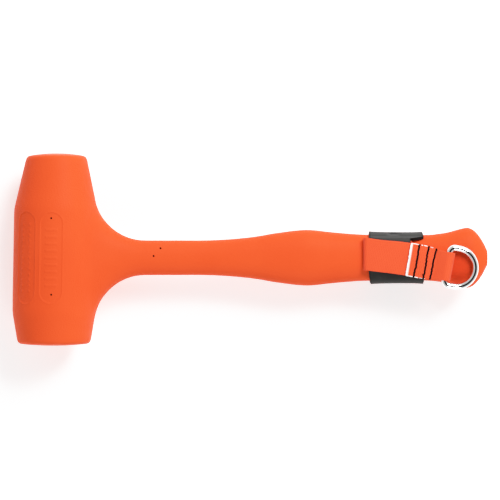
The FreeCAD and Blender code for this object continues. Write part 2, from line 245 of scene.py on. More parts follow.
def head_shell():
    """The head, turned from its profile, with rounded corners."""
    narrow = crown(narrow_face_radius, narrow_reach, narrow_rise)
    wide = [(radius, -y) for radius, y in crown(wide_face_radius, wide_reach, wide_rise)]
    profile = wide[::-1] + [(barrel, -wide_shoulder), (barrel, narrow_shoulder)] + narrow
    bm = bmesh.new()
    verts = [bm.verts.new((radius, y, 0)) for radius, y in profile]
    edges = [bm.edges.new(pair) for pair in zip(verts, verts[1:])]
    bmesh.ops.spin(
        bm, geom=verts + edges, cent=(0, 0, 0), axis=(0, 1, 0), angle=2 * math.pi,
        steps=120, use_merge=True,
    )
    bmesh.ops.remove_doubles(bm, verts=bm.verts, dist=0.001)
    for corner_y, offset in (
        (wide[0][1], face_corner_offset), (narrow[0][1], face_corner_offset),
        (-wide_shoulder, shoulder_offset), (narrow_shoulder, shoulder_offset),
    ):
        ring = [e for e in bm.edges if all(abs(v.co.y - corner_y) < 0.01 for v in e.verts)]
        bmesh.ops.bevel(
            bm, geom=ring, offset=offset, offset_type="OFFSET", segments=6, profile=0.5,
            affect="EDGES", material=-1, clamp_overlap=True,
        )
    for vert in bm.verts:
        vert.co.x += lean(vert.co.y)
    bmesh.ops.recalc_face_normals(bm, faces=bm.faces)
    return bm


# Distance from the head's axis, half width and half thickness, in mm
neck = (69.5, 13.3, 10.5)
grip_stations = [
    neck, (92, 13.3, 10.5), (116, 13.35, 10.6), (134, 14.2, 11.1), (152.5, 16.05, 12.1),
    (171, 19.1, 13.1), (192.5, 21.3, 13.7), (212, 19.5, 13.1), (234, 17.8, 12.3),
    (262, 17.4, 12.0), (285, 17.5, 12.0), (299, 19.2, 12.2), (308, 21.6, 12.5),
    (314.5, 23.1, 12.6),
]
butt_start, butt_width, butt_thickness = grip_stations[-1]
butt_length = (body_high.x - head_x) / MM - butt_start
butt_end_shares = (0.23, 0.45)
flare_start, flare_radius, flare_rise = 24.0, 38.9, 8.6
squareness = 2.4


def between(stations, x, column):
    """A smooth curve through one column of the stations, by its tangents at each."""
    last = len(stations) - 2
    at = max(i for i in range(last + 1) if stations[i][0] <= x or i == 0)
    points = [stations[min(max(at + i, 0), last + 1)] for i in (-1, 0, 1, 2)]
    span = points[2][0] - points[1][0]
    share = (x - points[1][0]) / span
    slopes = []
    for before, after in ((points[0], points[2]), (points[1], points[3])):
        slopes.append((after[column] - before[column]) / (after[0] - before[0]) * span)
    start, end = points[1][column], points[2][column]
    s2, s3 = share ** 2, share ** 3
    return (
        start * (2 * s3 - 3 * s2 + 1) + slopes[0] * (s3 - 2 * s2 + share)
        + end * (3 * s2 - 2 * s3) + slopes[1] * (s3 - s2)
    )


def handle_half_sizes(x):
    """Half width and half thickness of the handle at a distance from the head's axis."""
    if x < neck[0]:
        away = neck[0] - x
        arc = math.sqrt(flare_radius ** 2 - min(away, flare_radius * 0.985) ** 2)
        rise = flare_rise * (away / (neck[0] - flare_start)) ** 2
        return neck[1] + flare_radius - arc, neck[2] + rise
    if x > butt_start:
        share = ((x - butt_start) / butt_length) ** 2
        width = butt_width * (1 - (1 - butt_end_shares[0]) * share)
        return width, butt_thickness * (1 - (1 - butt_end_shares[1]) * share)
    return between(grip_stations, x, 1), between(grip_stations, x, 2)


def oval(x, y, z):
    """Turns a point of the unit circle into one of the handle's oval section."""
    share = 2 / squareness
    return (x, math.copysign(abs(y) ** share, y), math.copysign(abs(z) ** share, z))


sideways = Matrix.Rotation(math.pi / 2, 4, "Y")


def handle_shell():
    """The handle, drawn out of one oval ring, station by station."""
    bm = bmesh.new()
    bmesh.ops.create_circle(bm, segments=72, radius=1, matrix=sideways)
    for vert in bm.verts:
        vert.co = oval(*vert.co)
    x, width, thickness = flare_start, *handle_half_sizes(flare_start)
    bmesh.ops.scale(bm, vec=(1, width, thickness), verts=bm.verts)
    bmesh.ops.translate(bm, vec=(x, 0, 0), verts=bm.verts)
    ring = list(bm.edges)
    bmesh.ops.edgeloop_fill(bm, edges=ring)
    butt_end = butt_start + butt_length
    while x < butt_end - 0.01:
        step = 1.0 if x > butt_start - 8 or x < neck[0] else 2.5
        next_x = min(x + step, butt_end)
        next_width, next_thickness = handle_half_sizes(next_x)
        made = bmesh.ops.extrude_edge_only(bm, edges=ring)["geom"]
        ring = [part for part in made if isinstance(part, bmesh.types.BMEdge)]
        verts = [part for part in made if isinstance(part, bmesh.types.BMVert)]
        grown = (1, next_width / width, next_thickness / thickness)
        bmesh.ops.scale(bm, vec=grown, verts=verts)
        bmesh.ops.translate(bm, vec=(next_x - x, 0, 0), verts=verts)
        x, width, thickness = next_x, next_width, next_thickness
    bmesh.ops.edgeloop_fill(bm, edges=ring)
    bmesh.ops.recalc_face_normals(bm, faces=bm.faces)
    return bm


def object_of(bm, name, material=None):
    """Makes a bmesh a smooth-shaded object in the scene, and frees the bmesh."""
    mesh = bpy.data.meshes.new(name)
    for face in bm.faces:
        face.smooth = True
    bm.to_mesh(mesh)
    bm.free()
    made = bpy.data.objects.new(name, mesh)
    scene.collection.objects.link(made)
    if material:
        mesh.materials.append(material)
    return made


def with_modifier(piece, kind, **settings):
    """The piece's mesh with one modifier applied to it."""
    modifier = piece.modifiers.new(kind, kind)
    for name, value in settings.items():
        setattr(modifier, name, value)
    bpy.context.view_layer.update()
    graph = bpy.context.evaluated_depsgraph_get()
    mesh = bpy.data.meshes.new_from_object(piece.evaluated_get(graph))
    piece.modifiers.clear()
    old = piece.data
    piece.data = mesh
    bpy.data.meshes.remove(old)
    return piece


head = object_of(head_shell(), "head_shell")
handle = object_of(handle_shell(), "handle_shell")
bm = bmesh.new()
bm.from_mesh(head.data)
bm.from_mesh(handle.data)
bpy.data.objects.remove(head)
bpy.data.objects.remove(handle)
body = object_of(bm, "urethane_body")
with_modifier(body, "REMESH", mode="VOXEL", voxel_size=1.15, use_smooth_shade=True)

bm = bmesh.new()
bm.from_mesh(body.data)
for turn in range(4):
    bmesh.ops.smooth_vert(
        bm, verts=bm.verts, factor=0.5, use_axis_x=True, use_axis_y=True, use_axis_z=True,
    )


def near_root(co):
    """Whether a point is near the line where the flare meets the barrel."""
    outside = math.hypot(co.x, co.z) - barrel
    return -1 < outside < 7 and co.x > 18 and abs(co.y) < 44


root_verts = [v for v in bm.verts if near_root(v.co)]
for turn in range(40):
    bmesh.ops.smooth_vert(
        bm, verts=root_verts, factor=0.5, use_axis_x=True, use_axis_y=True, use_axis_z=True,
    )
# Two long rounded panels on each side of the barrel, cast a little below the skin inside a
# fine raised rim, with plain raised pips and bars in place of any lettering:
# turn of the middle from the top, half width round the barrel, half length
panels = ((41.0, 9.0, 35.0), (2.2, 8.9, 34.5))
pip_rows = [(side * 3.6, -25.2 + 4.2 * count) for side in (-1, 1) for count in range(13)]
bar_rows = [-21 + 5.25 * count for count in range(9)]


def soft_step(value, low, high):
    """0 below low, 1 above high, and a smooth step between them."""
    share = min(max((value - low) / (high - low), 0.0), 1.0)
    return share * share * (3 - 2 * share)


def panel_place(co, panel):
    """A point's distance round the barrel and along it from a panel's middle."""
    turn = math.atan2(lean(co.y) - co.x, abs(co.z)) - math.radians(panel[0])
    return turn * barrel, co.y


def rim_distance(round_barrel, along, panel):
    """Distance to the panel's outline, below 0 inside it."""
    past_straight = max(abs(along) - (panel[2] - panel[1]), 0)
    return math.hypot(round_barrel, past_straight) - panel[1]


def mark_distance(round_barrel, along, panel):
    """Distance to the nearest raised pip or bar of a panel, below 0 inside it."""
    if panel is panels[0]:
        return min(math.hypot(round_barrel - a, along - y) for a, y in pip_rows) - 0.9
    nearest = min(abs(along - y) for y in bar_rows) - 0.75
    return max(nearest, abs(round_barrel) - 4.5)


def panel_relief(co):
    """How far the skin stands out of the barrel at a point, and the nearest detail."""
    relief, nearest = 0.0, 99.0
    if co.x > 12 or abs(co.y) > 38 or math.hypot(co.x, co.z) < barrel - 2:
        return relief, nearest
    for panel in panels:
        round_barrel, along = panel_place(co, panel)
        rim = rim_distance(round_barrel, along, panel)
        mark = mark_distance(round_barrel, along, panel)
        relief += 0.16 * math.exp(-(rim / 0.45) ** 2) - 0.24 * soft_step(-rim, 0.1, 1.0)
        relief += 0.26 * soft_step(-mark, -0.45, 0.25) if rim < 0 else 0.0
        nearest = min(nearest, abs(rim), max(mark, 0) if rim < 0 else 99.0)
    return relief, nearest


detailed = [f for f in bm.faces if panel_relief(f.calc_center_median())[1] < 1.1]
cut_edges = list({edge for face in detailed for edge in face.edges})
bmesh.ops.subdivide_edges(bm, edges=cut_edges, cuts=2, use_grid_fill=True)
bm.normal_update()
reliefs = [(vert, panel_relief(vert.co)[0]) for vert in bm.verts]
for vert, relief in reliefs:
    if relief:
        vert.co += vert.normal * relief
bm.to_mesh(body.data)
bm.free()

# The room for the steel inside, and the narrow holes that the mould's centring pins left,
# which reach down to the steel.
canister_radius = (tube_high.x - tube_low.x) / 2 / MM
rod_radius = (rod_high.z - rod_low.z) / 2 / MM
cap_low, cap_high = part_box("canister_cap_wide")[0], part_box("canister_cap_narrow")[1]
rod_end = (rod_high.x - head_x) / MM
gap, pin_radius = 0.05, 0.75
up, along_head, along_handle = Matrix(), Matrix.Rotation(math.pi / 2, 4, "X"), sideways


def round_bar(bm, start, end, radius, turned, segments):
    """A round bar between two points."""
    middle = Matrix.Translation((Vector(start) + Vector(end)) / 2)
    bmesh.ops.create_cone(
        bm, cap_ends=True, segments=segments, radius1=radius, radius2=radius,
        depth=(Vector(end) - Vector(start)).length, matrix=middle @ turned,
    )


steel_room, pins = bmesh.new(), bmesh.new()
low_cap, high_cap = (cap_low.y - handle_y) / MM - gap, (cap_high.y - handle_y) / MM + gap
round_bar(
    steel_room, (0, low_cap, 0), (0, high_cap, 0), canister_radius + gap, along_head, 96,
)
rod_room = bmesh.new()
round_bar(rod_room, (15, 0, 0), (rod_end + gap, 0, 0), rod_radius + gap, along_handle, 48)
weld_low, weld_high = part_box("rod_weld")
weld_matrix = Matrix.Translation(((weld_low.x + weld_high.x) / 2 / MM - head_x / MM, 0, 0))
bmesh.ops.create_cone(
    rod_room, cap_ends=True, segments=48, radius1=(weld_high.z - weld_low.z) / 2 / MM + gap,
    radius2=rod_radius + gap, depth=(weld_high.x - weld_low.x) / MM, matrix=weld_matrix @ sideways,
)
for side in (1, -1):
    for x, y, depth in ((-0.3, 29.9, 20), (-0.3, -27.8, 20), (76.2, 1.3, 5), (81.4, 7.2, 0.8)):
        round_bar(pins, (x, y, side * depth), (x, y, side * 34), pin_radius, up, 20)
round_bar(pins, (-20, 4.3, 0), (-34, 4.3, 0), pin_radius, along_handle, 20)
for cutter_mesh in (steel_room, rod_room, pins):
    cutter = object_of(cutter_mesh, "cutter")
    with_modifier(body, "BOOLEAN", operation="DIFFERENCE", object=cutter, solver="EXACT")
    bpy.data.objects.remove(cutter)
to_frame = Matrix.Translation((head_x, handle_y, handle_z)) @ Matrix.Scale(MM, 4)
body.data.transform(to_frame)
body.data.set_sharp_from_angle(angle=math.radians(50))


def urethane():
    """Orange cast urethane: a satin skin with fine pebble grain, smooth on the faces, and
    a painted shadow on the top of the butt under the ring and its loop."""
    material, surface, place = new_material("orange_urethane", 0.5)
    parts = place.node("ShaderNodeSeparateXYZ", {}, {"Vector": place})
    x, y, z = parts, parts.other_output(1), parts.other_output(2)
    narrow_face = y.ramp(handle_y + (narrow_reach - 3) * MM, handle_y + (narrow_reach - 2) * MM)
    wide_face = y.ramp(handle_y - (wide_reach - 2) * MM, handle_y - (wide_reach - 3) * MM)
    on_face = narrow_face + (wide_face * -1 + 1)
    surface.inputs["Specular IOR Level"].default_value = 0.04
    cells = place.node(
        "ShaderNodeTexVoronoi", {"feature": "SMOOTH_F1"},
        {"Vector": place, "Scale": 850, "Smoothness": 0.5, "Randomness": 1.0},
    )
    drift = place.node("ShaderNodeTexNoise", {}, {"Vector": place, "Scale": 14, "Detail": 3})
    grain = cells.ramp(0.0, 0.75) * (on_face * -0.85 + 1)
    bump = place.node(
        "ShaderNodeBump", {}, {"Strength": 0.25, "Distance": 0.00025, "Height": grain},
    )
    feed(surface, "Normal", bump)
    light, dark = (0.79, 0.090, 0.023, 1), (0.75, 0.081, 0.020, 1)
    # Painted shadow: inside the ring, on the butt's upper side, the skin is painted darker where the
    # ring and the webbing's loop shade it.
    ring_shadow_middle_x, ring_shadow_middle_y, ring_shadow_half_length, ring_shadow_half_width = 0.1600, -0.0140, 0.0125, 0.0155
    ring_shadow_x = (x - ring_shadow_middle_x) * (1 / ring_shadow_half_length)
    ring_shadow_y = (y - ring_shadow_middle_y) * (1 / ring_shadow_half_width)
    ring_shadow_distance = ring_shadow_x * ring_shadow_x + ring_shadow_y * ring_shadow_y + (drift - 0.5) * 0.6
    ring_shadow = (ring_shadow_distance.ramp(0.35, 1.25) * -0.62 + 0.62) * z.ramp(handle_z, handle_z + 0.004)
    skin = drift.ramp(0.35, 0.65).mix(light, dark)
    feed(surface, "Base Color", ring_shadow.mix(skin, (0.50, 0.030, 0.010, 1)))
    feed(surface, "Roughness", on_face * -0.12 + 0.5)
    return material


body.data.materials.append(urethane())
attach(body, "root")
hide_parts("moulded_body")


# ---------------------------------------------------------------------------------------
# Steel core, hidden in the moulding: a canister of drawn tube with two pressed caps, and a
# turned rod welded to its side. All of it is plain mill steel.
def steel(name, colour, roughness, streaks):
    """Bare steel with the fine streaks that drawing or turning leaves."""
    material, surface, place = new_material(name, roughness, metallic=1.0)
    grain = place.node("ShaderNodeMapping", {}, {"Vector": place, "Scale": streaks})
    lines = place.node("ShaderNodeTexNoise", {}, {"Vector": grain, "Scale": 500, "Detail": 4})
    scale = place.node("ShaderNodeTexNoise", {}, {"Vector": place, "Scale": 70, "Detail": 5})
    darker = tuple(0.6 * part for part in colour[:3]) + (1,)
    feed(surface, "Base Color", scale.ramp(0.35, 0.65).mix(darker, colour))
    feed(surface, "Roughness", lines * 0.25 + (roughness - 0.1))
    feed(surface, "Normal", place.node(
        "ShaderNodeBump", {}, {"Strength": 0.3, "Distance": 0.0001, "Height": lines},
    ))
    return material


drawn_steel = steel("drawn_canister_steel", (0.42, 0.42, 0.43, 1), 0.42, (1, 0.05, 1))
turned_steel = steel("turned_rod_steel", (0.50, 0.50, 0.50, 1), 0.35, (4, 0.3, 0.3))
weld_steel = steel("blued_weld_steel", (0.26, 0.24, 0.27, 1), 0.5, (1, 1, 1))
for node, finish in (
    ("canister_tube", drawn_steel), ("canister_cap_narrow", drawn_steel),
    ("canister_cap_wide", drawn_steel), ("handle_rod", turned_steel), ("rod_weld", weld_steel),
):
    bpy.data.objects[node].material_slots[0].material = finish


# ---------------------------------------------------------------------------------------
# Shot: loose hardened steel balls in the canister. They slide along it when the head stops
# and so kill the rebound.
shot_low, shot_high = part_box("shot_charge")
ball_radius, ball_pitch = 3.45, 6.95
first_ball_y = (shot_low.y - handle_y) / MM + ball_radius
layers = round((shot_high.y - shot_low.y) / MM / ball_pitch)
bm = bmesh.new()
for column in range(-2, 3):
    for row in range(-2, 3):
        if abs(column + row) < 3:
            x, z = ball_pitch * (column + row / 2), ball_pitch * row * math.sqrt(3) / 2
            for layer in range(layers):
                at = Matrix.Translation((x, first_ball_y + layer * ball_pitch, z))
                bmesh.ops.create_uvsphere(
                    bm, u_segments=8, v_segments=6, radius=ball_radius, matrix=at,
                )
bmesh.ops.transform(bm, matrix=to_frame, verts=bm.verts)
shot = object_of(bm, "steel_shot", steel("hardened_shot_steel", (0.34, 0.34, 0.35, 1), 0.3, (1, 1, 1)))
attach(shot, "shot")
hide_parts("shot_charge")


# ---------------------------------------------------------------------------------------
# Webbing: one strip of woven nylon. Its anchored end lies under the sleeve. It folds back
# ahead of the sleeve, runs out to the ring's bar, goes round it and is sewn to itself.
joints = {joint["name"]: joint for joint in frame["joints"]}
fold_place = Vector(joints["strap_lift"]["pos_m"]) / MM
bar_place = Vector(joints["ring_swing"]["pos_m"]) / MM
out_to_bar = bar_place - fold_place
out_to_bar.z = 0
bar_distance = out_to_bar.length
strap_turn = -math.atan2(out_to_bar.y, out_to_bar.x)
fold_from_head = fold_place.x - head_x / MM
fold_off_axis = fold_place.y - handle_y / MM
bar_height = bar_place.z - handle_z / MM
webbing_width, webbing_thickness = 24.2, 1.5
strap_height = (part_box("webbing_fold")[1].z - handle_z) / MM - webbing_thickness / 2
loop_radius = 3.65
loop_angles = (-102, 115)
flap_length = 28.4
fold_roll = 2.1
edge_droop = 0.45
loop_skew, ring_skew = math.radians(1.5), math.radians(0.9)
rib_pitch = 1.3


def soft_least(first, second, blend=0.15):
    """The smaller of two values, with a soft change from one to the other."""
    least = min(first, second)
    return least - blend * math.log(
        math.exp((least - first) / blend) + math.exp((least - second) / blend)
    )


def on_loop(angle):
    """A point of the loop round the bar: distance out from the fold, and height."""
    turn = math.radians(angle)
    return bar_distance + loop_radius * math.cos(turn), bar_height + loop_radius * math.sin(turn)


def lower_height(out):
    """Height of the strap's lower layer, level at first, then down to the loop."""
    start, low = on_loop(loop_angles[0])
    slope = math.tan(math.radians(-90 - loop_angles[0]))
    return soft_least(strap_height, low + (start - out) * slope)


def flap_height(out):
    """Height of the flap, which lies on the lower layer and climbs to the loop's top."""
    start, top = on_loop(loop_angles[1])
    slope = math.tan(math.radians(loop_angles[1] - 90))
    resting = lower_height(out) + webbing_thickness + 0.02
    return -soft_least(-resting, -(top + (out - start) * slope))


def strap_line():
    """The strip's middle line as (length so far, out, height) from the fold to its end."""
    first_out = on_loop(loop_angles[0])[0]
    last_out = on_loop(loop_angles[1])[0]
    steps = 150
    line = [(first_out * i / steps, lower_height(first_out * i / steps)) for i in range(steps)]
    swept = loop_angles[1] - loop_angles[0]
    line += [on_loop(loop_angles[0] + swept * i / 30) for i in range(30)]
    back = last_out - (bar_distance - flap_length)
    line += [(last_out - back * i / 70, flap_height(last_out - back * i / 70)) for i in range(71)]
    length, found = 0.0, [(0.0,) + line[0]]
    for before, after in zip(line, line[1:]):
        length += math.dist(before, after)
        found.append((length,) + after)
    return found


strap_points = strap_line()
strap_length = strap_points[-1][0]


def on_strap_line(along):
    """Out and height of the middle line at a length along it."""
    at = min(max(bisect.bisect(strap_points, (along,)), 1), len(strap_points) - 1)
    before, after = strap_points[at - 1], strap_points[at]
    share = (along - before[0]) / (after[0] - before[0])
    return [a + (b - a) * share for a, b in zip(before[1:], after[1:])]


def strap_side(out):
    """How far the strap bows sideways, and how its width changes, at a distance out."""
    bow = 1.3 * math.sin(math.pi * min(max(out / bar_distance, 0), 1)) ** 2
    bow += 0.9 * soft_step(out, 30, 62)
    width = 1 + 0.025 * soft_step(out, 8, 30) - 0.125 * soft_step(out, 42, 60)
    return bow, width


def grip_height(x, y, extra):
    """Height of the grip's skin, made larger by extra, over the handle's middle plane."""
    half_width, half_thickness = handle_half_sizes(x)
    across = min(abs(y) / (half_width + extra), 1)
    return (half_thickness + extra) * (1 - across ** squareness) ** (1 / squareness)


def to_body(out, side, height):
    """From the strap's own directions to the handle's, in mm from the head's axis. The
    ring pulls the loop a little askew."""
    cos, sin = math.cos(strap_turn), math.sin(strap_turn)
    out += math.tan(loop_skew) * side * soft_step(out, 42, 60)
    x = fold_from_head + out * cos + side * sin
    return Vector((x, fold_off_axis - out * sin + side * cos, height))


def laid_webbing(along, across):
    """Where a point of the flat strip lies; along is 0 where the fold starts to turn."""
    cos, sin = math.cos(strap_turn), math.sin(strap_turn)
    past_fold = along * cos + across * sin
    droop = edge_droop * (2 * across / webbing_width) ** 2
    if past_fold > 0:
        out, height = on_strap_line(along) if along > 20 else (along, strap_height)
        bow, width = strap_side(out)
        droop *= 1 - soft_step(out, 43, 56)
        return to_body(out, across * width + bow, height - droop)
    y = fold_off_axis + across / cos
    skin = grip_height(fold_from_head, y, webbing_thickness / 2 + 0.05)
    turn = min(-past_fold / fold_roll, math.pi)
    beyond = max(-past_fold - math.pi * fold_roll, 0)
    x = fold_from_head - fold_roll * math.sin(turn) + beyond
    if beyond > 0:
        return Vector((x, y, grip_height(x, y, webbing_thickness / 2 + 0.05)))
    top = strap_height - droop
    return Vector((x, y, (top + skin) / 2 + (top - skin) / 2 * math.cos(turn)))


def webbing_strip(name, start, end, rounded=0.35):
    """A strip of webbing laid from start to end along it, as thick as the real one."""
    rows = max(int(abs(end - start) / 0.4), 2)
    bm = bmesh.new()
    bmesh.ops.create_grid(bm, x_segments=rows, y_segments=26, size=0.5, calc_uvs=True)
    weave = bm.loops.layers.uv.verify()
    for face in bm.faces:
        for loop in face.loops:
            along = start + (loop.vert.co.x + 0.5) * (end - start)
            loop[weave].uv = along * MM, loop.vert.co.y * webbing_width * MM
    for vert in bm.verts:
        along = start + (vert.co.x + 0.5) * (end - start)
        across = vert.co.y * webbing_width
        edge = soft_step(abs(across), webbing_width / 2 - 1.0, webbing_width / 2)
        scallop = 0.09 * edge * math.cos(2 * math.pi * along / rib_pitch)
        vert.co = laid_webbing(along, across + math.copysign(scallop, across))
    piece = object_of(bm, name)
    with_modifier(piece, "SOLIDIFY", thickness=webbing_thickness, offset=0, use_even_offset=True)
    with_modifier(
        piece, "BEVEL", width=rounded, segments=2, limit_method="ANGLE",
        angle_limit=math.radians(50),
    )
    piece.data.transform(to_frame)
    for polygon in piece.data.polygons:
        polygon.use_smooth = True
    return piece


def woven(name, light, dark, roughness):
    """Woven nylon on its own UV map: staggered warp knuckles over cross ribs."""
    material, surface, place = new_material(name, roughness)
    surface.inputs["Specular IOR Level"].default_value = 0.12
    surface.inputs["Sheen Weight"].default_value = 0.08
    uv = place.node("ShaderNodeUVMap", {}, {})
    parts = uv.node("ShaderNodeSeparateXYZ", {}, {"Vector": uv})
    along, across = parts, parts.other_output(1)
    yarn = across * (1 / (0.9 * MM))
    column = yarn.maths("FLOOR")
    rib = (along * (1 / (rib_pitch * MM)) + column * 0.5) * math.pi
    knuckle = rib.maths("SINE").maths("ABSOLUTE")
    side = (yarn * math.pi).maths("SINE").maths("ABSOLUTE")
    height = knuckle.maths("POWER", 0.6) * side.maths("POWER", 0.5)
    cross = (along * (2 * math.pi / (rib_pitch * MM))).maths("COSINE") * 0.5 + 0.5
    fuzz = place.node("ShaderNodeTexNoise", {}, {"Vector": place, "Scale": 2600, "Detail": 2})
    drift = place.node("ShaderNodeTexNoise", {}, {"Vector": place, "Scale": 60, "Detail": 2})
    # Painted shade: the tops of the yarns are painted lighter and the hollows between them and the ribs
    # darker; the fuzz and drift are the yarn's own tone.
    shade = (height * 0.6 + cross * 0.25 + fuzz * 0.3).ramp(0.15, 0.95)
    tone = (shade * 0.8 + drift * 0.2).ramp(0.0, 1.0)
    feed(surface, "Base Color", tone.mix(dark, light))
    feed(surface, "Normal", place.node(
        "ShaderNodeBump", {},
        {"Strength": 0.6, "Distance": 0.00018, "Height": height + cross * 0.5 + fuzz * 0.25},
    ))
    return material


orange_weave = woven("orange_webbing", (0.92, 0.105, 0.033, 1), (0.62, 0.055, 0.016, 1), 0.75)
fold_end = -math.pi * fold_roll / math.cos(strap_turn)
strap = webbing_strip("webbing", fold_end, strap_length)
strap.data.materials.append(orange_weave)
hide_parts("webbing_fold", "webbing_strap")
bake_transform(strap)
(strap_length - fold_end) * MM

anchor = webbing_strip("webbing_anchor_end", fold_end - 36, fold_end)
anchor.data.materials.append(orange_weave)
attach(anchor, "root")
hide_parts("webbing_anchor")


# ---------------------------------------------------------------------------------------
# Sealed end: the cut end of the flap, melted and painted white so that it can't fray. The
# paint runs a little way back along both edges of the flap.
white_seal, surface, place = new_material("white_seal", 0.55)
grime = place.node("ShaderNodeTexNoise", {}, {"Vector": place, "Scale": 900, "Detail": 3})
inwards = place.node("ShaderNodeAttribute", {"attribute_name": "inwards"}, {}, output="Fac")
thinner = (inwards + (grime - 0.5) * 0.5).ramp(0.45, 0.85)
feed(surface, "Base Color", thinner.mix((0.9, 0.88, 0.87, 1), (0.78, 0.40, 0.34, 1)))
feed(surface, "Normal", place.node(
    "ShaderNodeBump", {}, {"Strength": 0.5, "Distance": 0.0002, "Height": grime},
))
flap_end_out = bar_distance - flap_length
seal_start, seal_end = -0.45, 1.5


def flap_point(back, across, lift):
    """A point on the flap, back from its cut end towards the ring, above its middle."""
    out = flap_end_out + back
    bow, width = strap_side(out)
    droop = edge_droop * (2 * across / webbing_width) ** 2 * (1 - soft_step(out, 43, 56))
    return to_body(out, across * width + bow, flap_height(out) - droop + lift)


def strand(bm, points, radius, sides=6):
    """A round strand along the points, drawn out of one small ring."""
    first = Vector(points[1]) - Vector(points[0])
    matrix = Matrix.Translation(points[0]) @ first.to_track_quat("Z", "Y").to_matrix().to_4x4()
    made = bmesh.ops.create_circle(bm, segments=sides, radius=radius, matrix=matrix, cap_ends=True)
    ring = [e for v in made["verts"] for e in v.link_edges]
    ring = list(dict.fromkeys(ring))
    for before, after in zip(points, points[1:]):
        made = bmesh.ops.extrude_edge_only(bm, edges=ring)["geom"]
        ring = [part for part in made if isinstance(part, bmesh.types.BMEdge)]
        verts = [part for part in made if isinstance(part, bmesh.types.BMVert)]
        bmesh.ops.translate(bm, vec=Vector(after) - Vector(before), verts=verts)
    bmesh.ops.edgeloop_fill(bm, edges=ring)


bm = bmesh.new()
bmesh.ops.create_grid(bm, x_segments=8, y_segments=60, size=0.5)
paint = bm.verts.layers.float.new("inwards")
for vert in bm.verts:
    vert[paint] = vert.co.x + 0.5
    back = -seal_end + (vert.co.x + 0.5) * (seal_end - seal_start)
    across = vert.co.y * webbing_width
    ragged = noise.noise(Vector((across * 0.9, back, 3.1))) * 0.35
    vert.co = flap_point(back + ragged * (0.5 - vert.co.x), across, 0.0)
seal = object_of(bm, "webbing_sealed_end")
with_modifier(
    seal, "SOLIDIFY", thickness=webbing_thickness + 0.1, offset=0, use_even_offset=True,
)
with_modifier(
    seal, "BEVEL", width=0.4, segments=3, limit_method="ANGLE", angle_limit=math.radians(50),
)
bm = bmesh.new()
bm.from_mesh(seal.data)
for side, first, last in (
    (1, -1.0, 4.9), (1, 6.6, 7.9), (1, 8.7, 11.2), (1, 13.4, 15.8), (-1, -1.0, 8.2), (-1, 8.9, 13.5),
):
    across = side * (webbing_width / 2 - 0.05)
    points = []
    for step in range(17):
        back = first + (last - first) * step / 16
        wobble = noise.noise(Vector((back * 0.8, side * 4.0, 0.5))) * 0.3
        points.append(flap_point(back, across + wobble * side * 0.4, 0.52 + wobble * 0.3))
    strand(bm, points, 0.42 if last < 12 else 0.28)
bmesh.ops.recalc_face_normals(bm, faces=bm.faces)
for face in bm.faces:
    face.smooth = True
bmesh.ops.transform(bm, matrix=to_frame, verts=bm.verts)
bm.to_mesh(seal.data)
bm.free()
seal.data.materials.append(white_seal)
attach(seal, "strap")
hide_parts("webbing_end_seal")


# ---------------------------------------------------------------------------------------
# Stitching: three bar tacks of thick black thread across the flap, which hold both layers.
# Each is a close zigzag, pulled a little crooked by the machine.
thread, surface, place = new_material("black_thread", 0.8)
surface.inputs["Specular IOR Level"].default_value = 0.02
twist = place.node("ShaderNodeTexNoise", {}, {"Vector": place, "Scale": 3000, "Detail": 1})
feed(surface, "Base Color", twist.ramp(0.3, 0.7).mix((0.003, 0.002, 0.003, 1), (0.010, 0.007, 0.008, 1)))
feed(surface, "Normal", place.node(
    "ShaderNodeBump", {}, {"Strength": 0.5, "Distance": 0.0001, "Height": twist},
))
# Row's node, distance back from the flap's end, lean of the row, and seed
tack_rows = (
    ("stitch_row_first", 5.1, 0.4, 11),
    ("stitch_row_second", 12.3, 0.2, 12),
    ("stitch_row_third", 17.7, 1.0, 13),
)
stitch_radius, stitch_reach, stitches = 0.82, 1.7, 27
for node, back, lean, seed in tack_rows:
    chance = random.Random(seed)
    bm = bmesh.new()
    for count in range(stitches):
        share = (count + 0.5) / stitches
        across = (share - 0.5) * (webbing_width + 0.3)
        crook = 0.22 * math.sin(share * 7 + seed) + chance.uniform(-0.2, 0.2)
        at = flap_point(back + lean * (share - 0.5) + crook, across, webbing_thickness / 2)
        slant = math.radians((28 if count % 2 else -28) + chance.uniform(-8, 8)) - strap_turn
        size = Matrix.Diagonal((stitch_radius, stitch_reach / 2, 0.52, 1))
        matrix = Matrix.Translation(at) @ Matrix.Rotation(slant, 4, "Z") @ size
        bmesh.ops.create_icosphere(bm, subdivisions=2, radius=1, matrix=matrix)
    if node == "stitch_row_second":
        tail = [(11.4, -8.6), (11.7, -9.3), (12.3, -9.9), (12.8, -10.4), (13.1, -10.9)]
        strand(bm, [flap_point(a - 0.7, b, webbing_thickness / 2 + 0.2) for a, b in tail], 0.28)
    bmesh.ops.recalc_face_normals(bm, faces=bm.faces)
    bmesh.ops.transform(bm, matrix=to_frame, verts=bm.verts)
    tack = object_of(bm, node.replace("stitch_row", "bar_tack"), thread)
    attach(tack, "strap")
    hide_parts(node)


# ---------------------------------------------------------------------------------------
# D-ring: round steel wire bent to a D, welded at the bar and bright chrome plated. Its
# straight bar lies in the webbing's loop.
wire_radius = 2.4
ring_half = webbing_width / 2 + wire_radius
ring_aside = 1.4
ring_corner, ring_depth, ring_tilt = 4.3, 21.9, math.radians(4)
leg_end = ring_depth - ring_half


def run_on(bm, ring, move):
    """Draws a ring of edges on along a straight line, and returns the new ring."""
    made = bmesh.ops.extrude_edge_only(bm, edges=ring)["geom"]
    bmesh.ops.translate(
        bm, vec=move, verts=[part for part in made if isinstance(part, bmesh.types.BMVert)],
    )
    return [part for part in made if isinstance(part, bmesh.types.BMEdge)]


def bend_on(bm, ring, centre, angle, steps):
    """Draws a ring of edges on round a centre in the flat of the D."""
    verts = list({vert for edge in ring for vert in edge.verts})
    made = bmesh.ops.spin(
        bm, geom=ring + verts, cent=centre, axis=(0, 0, 1), angle=math.radians(angle),
        steps=steps, use_merge=False,
    )["geom_last"]
    return [part for part in made if isinstance(part, bmesh.types.BMEdge)]


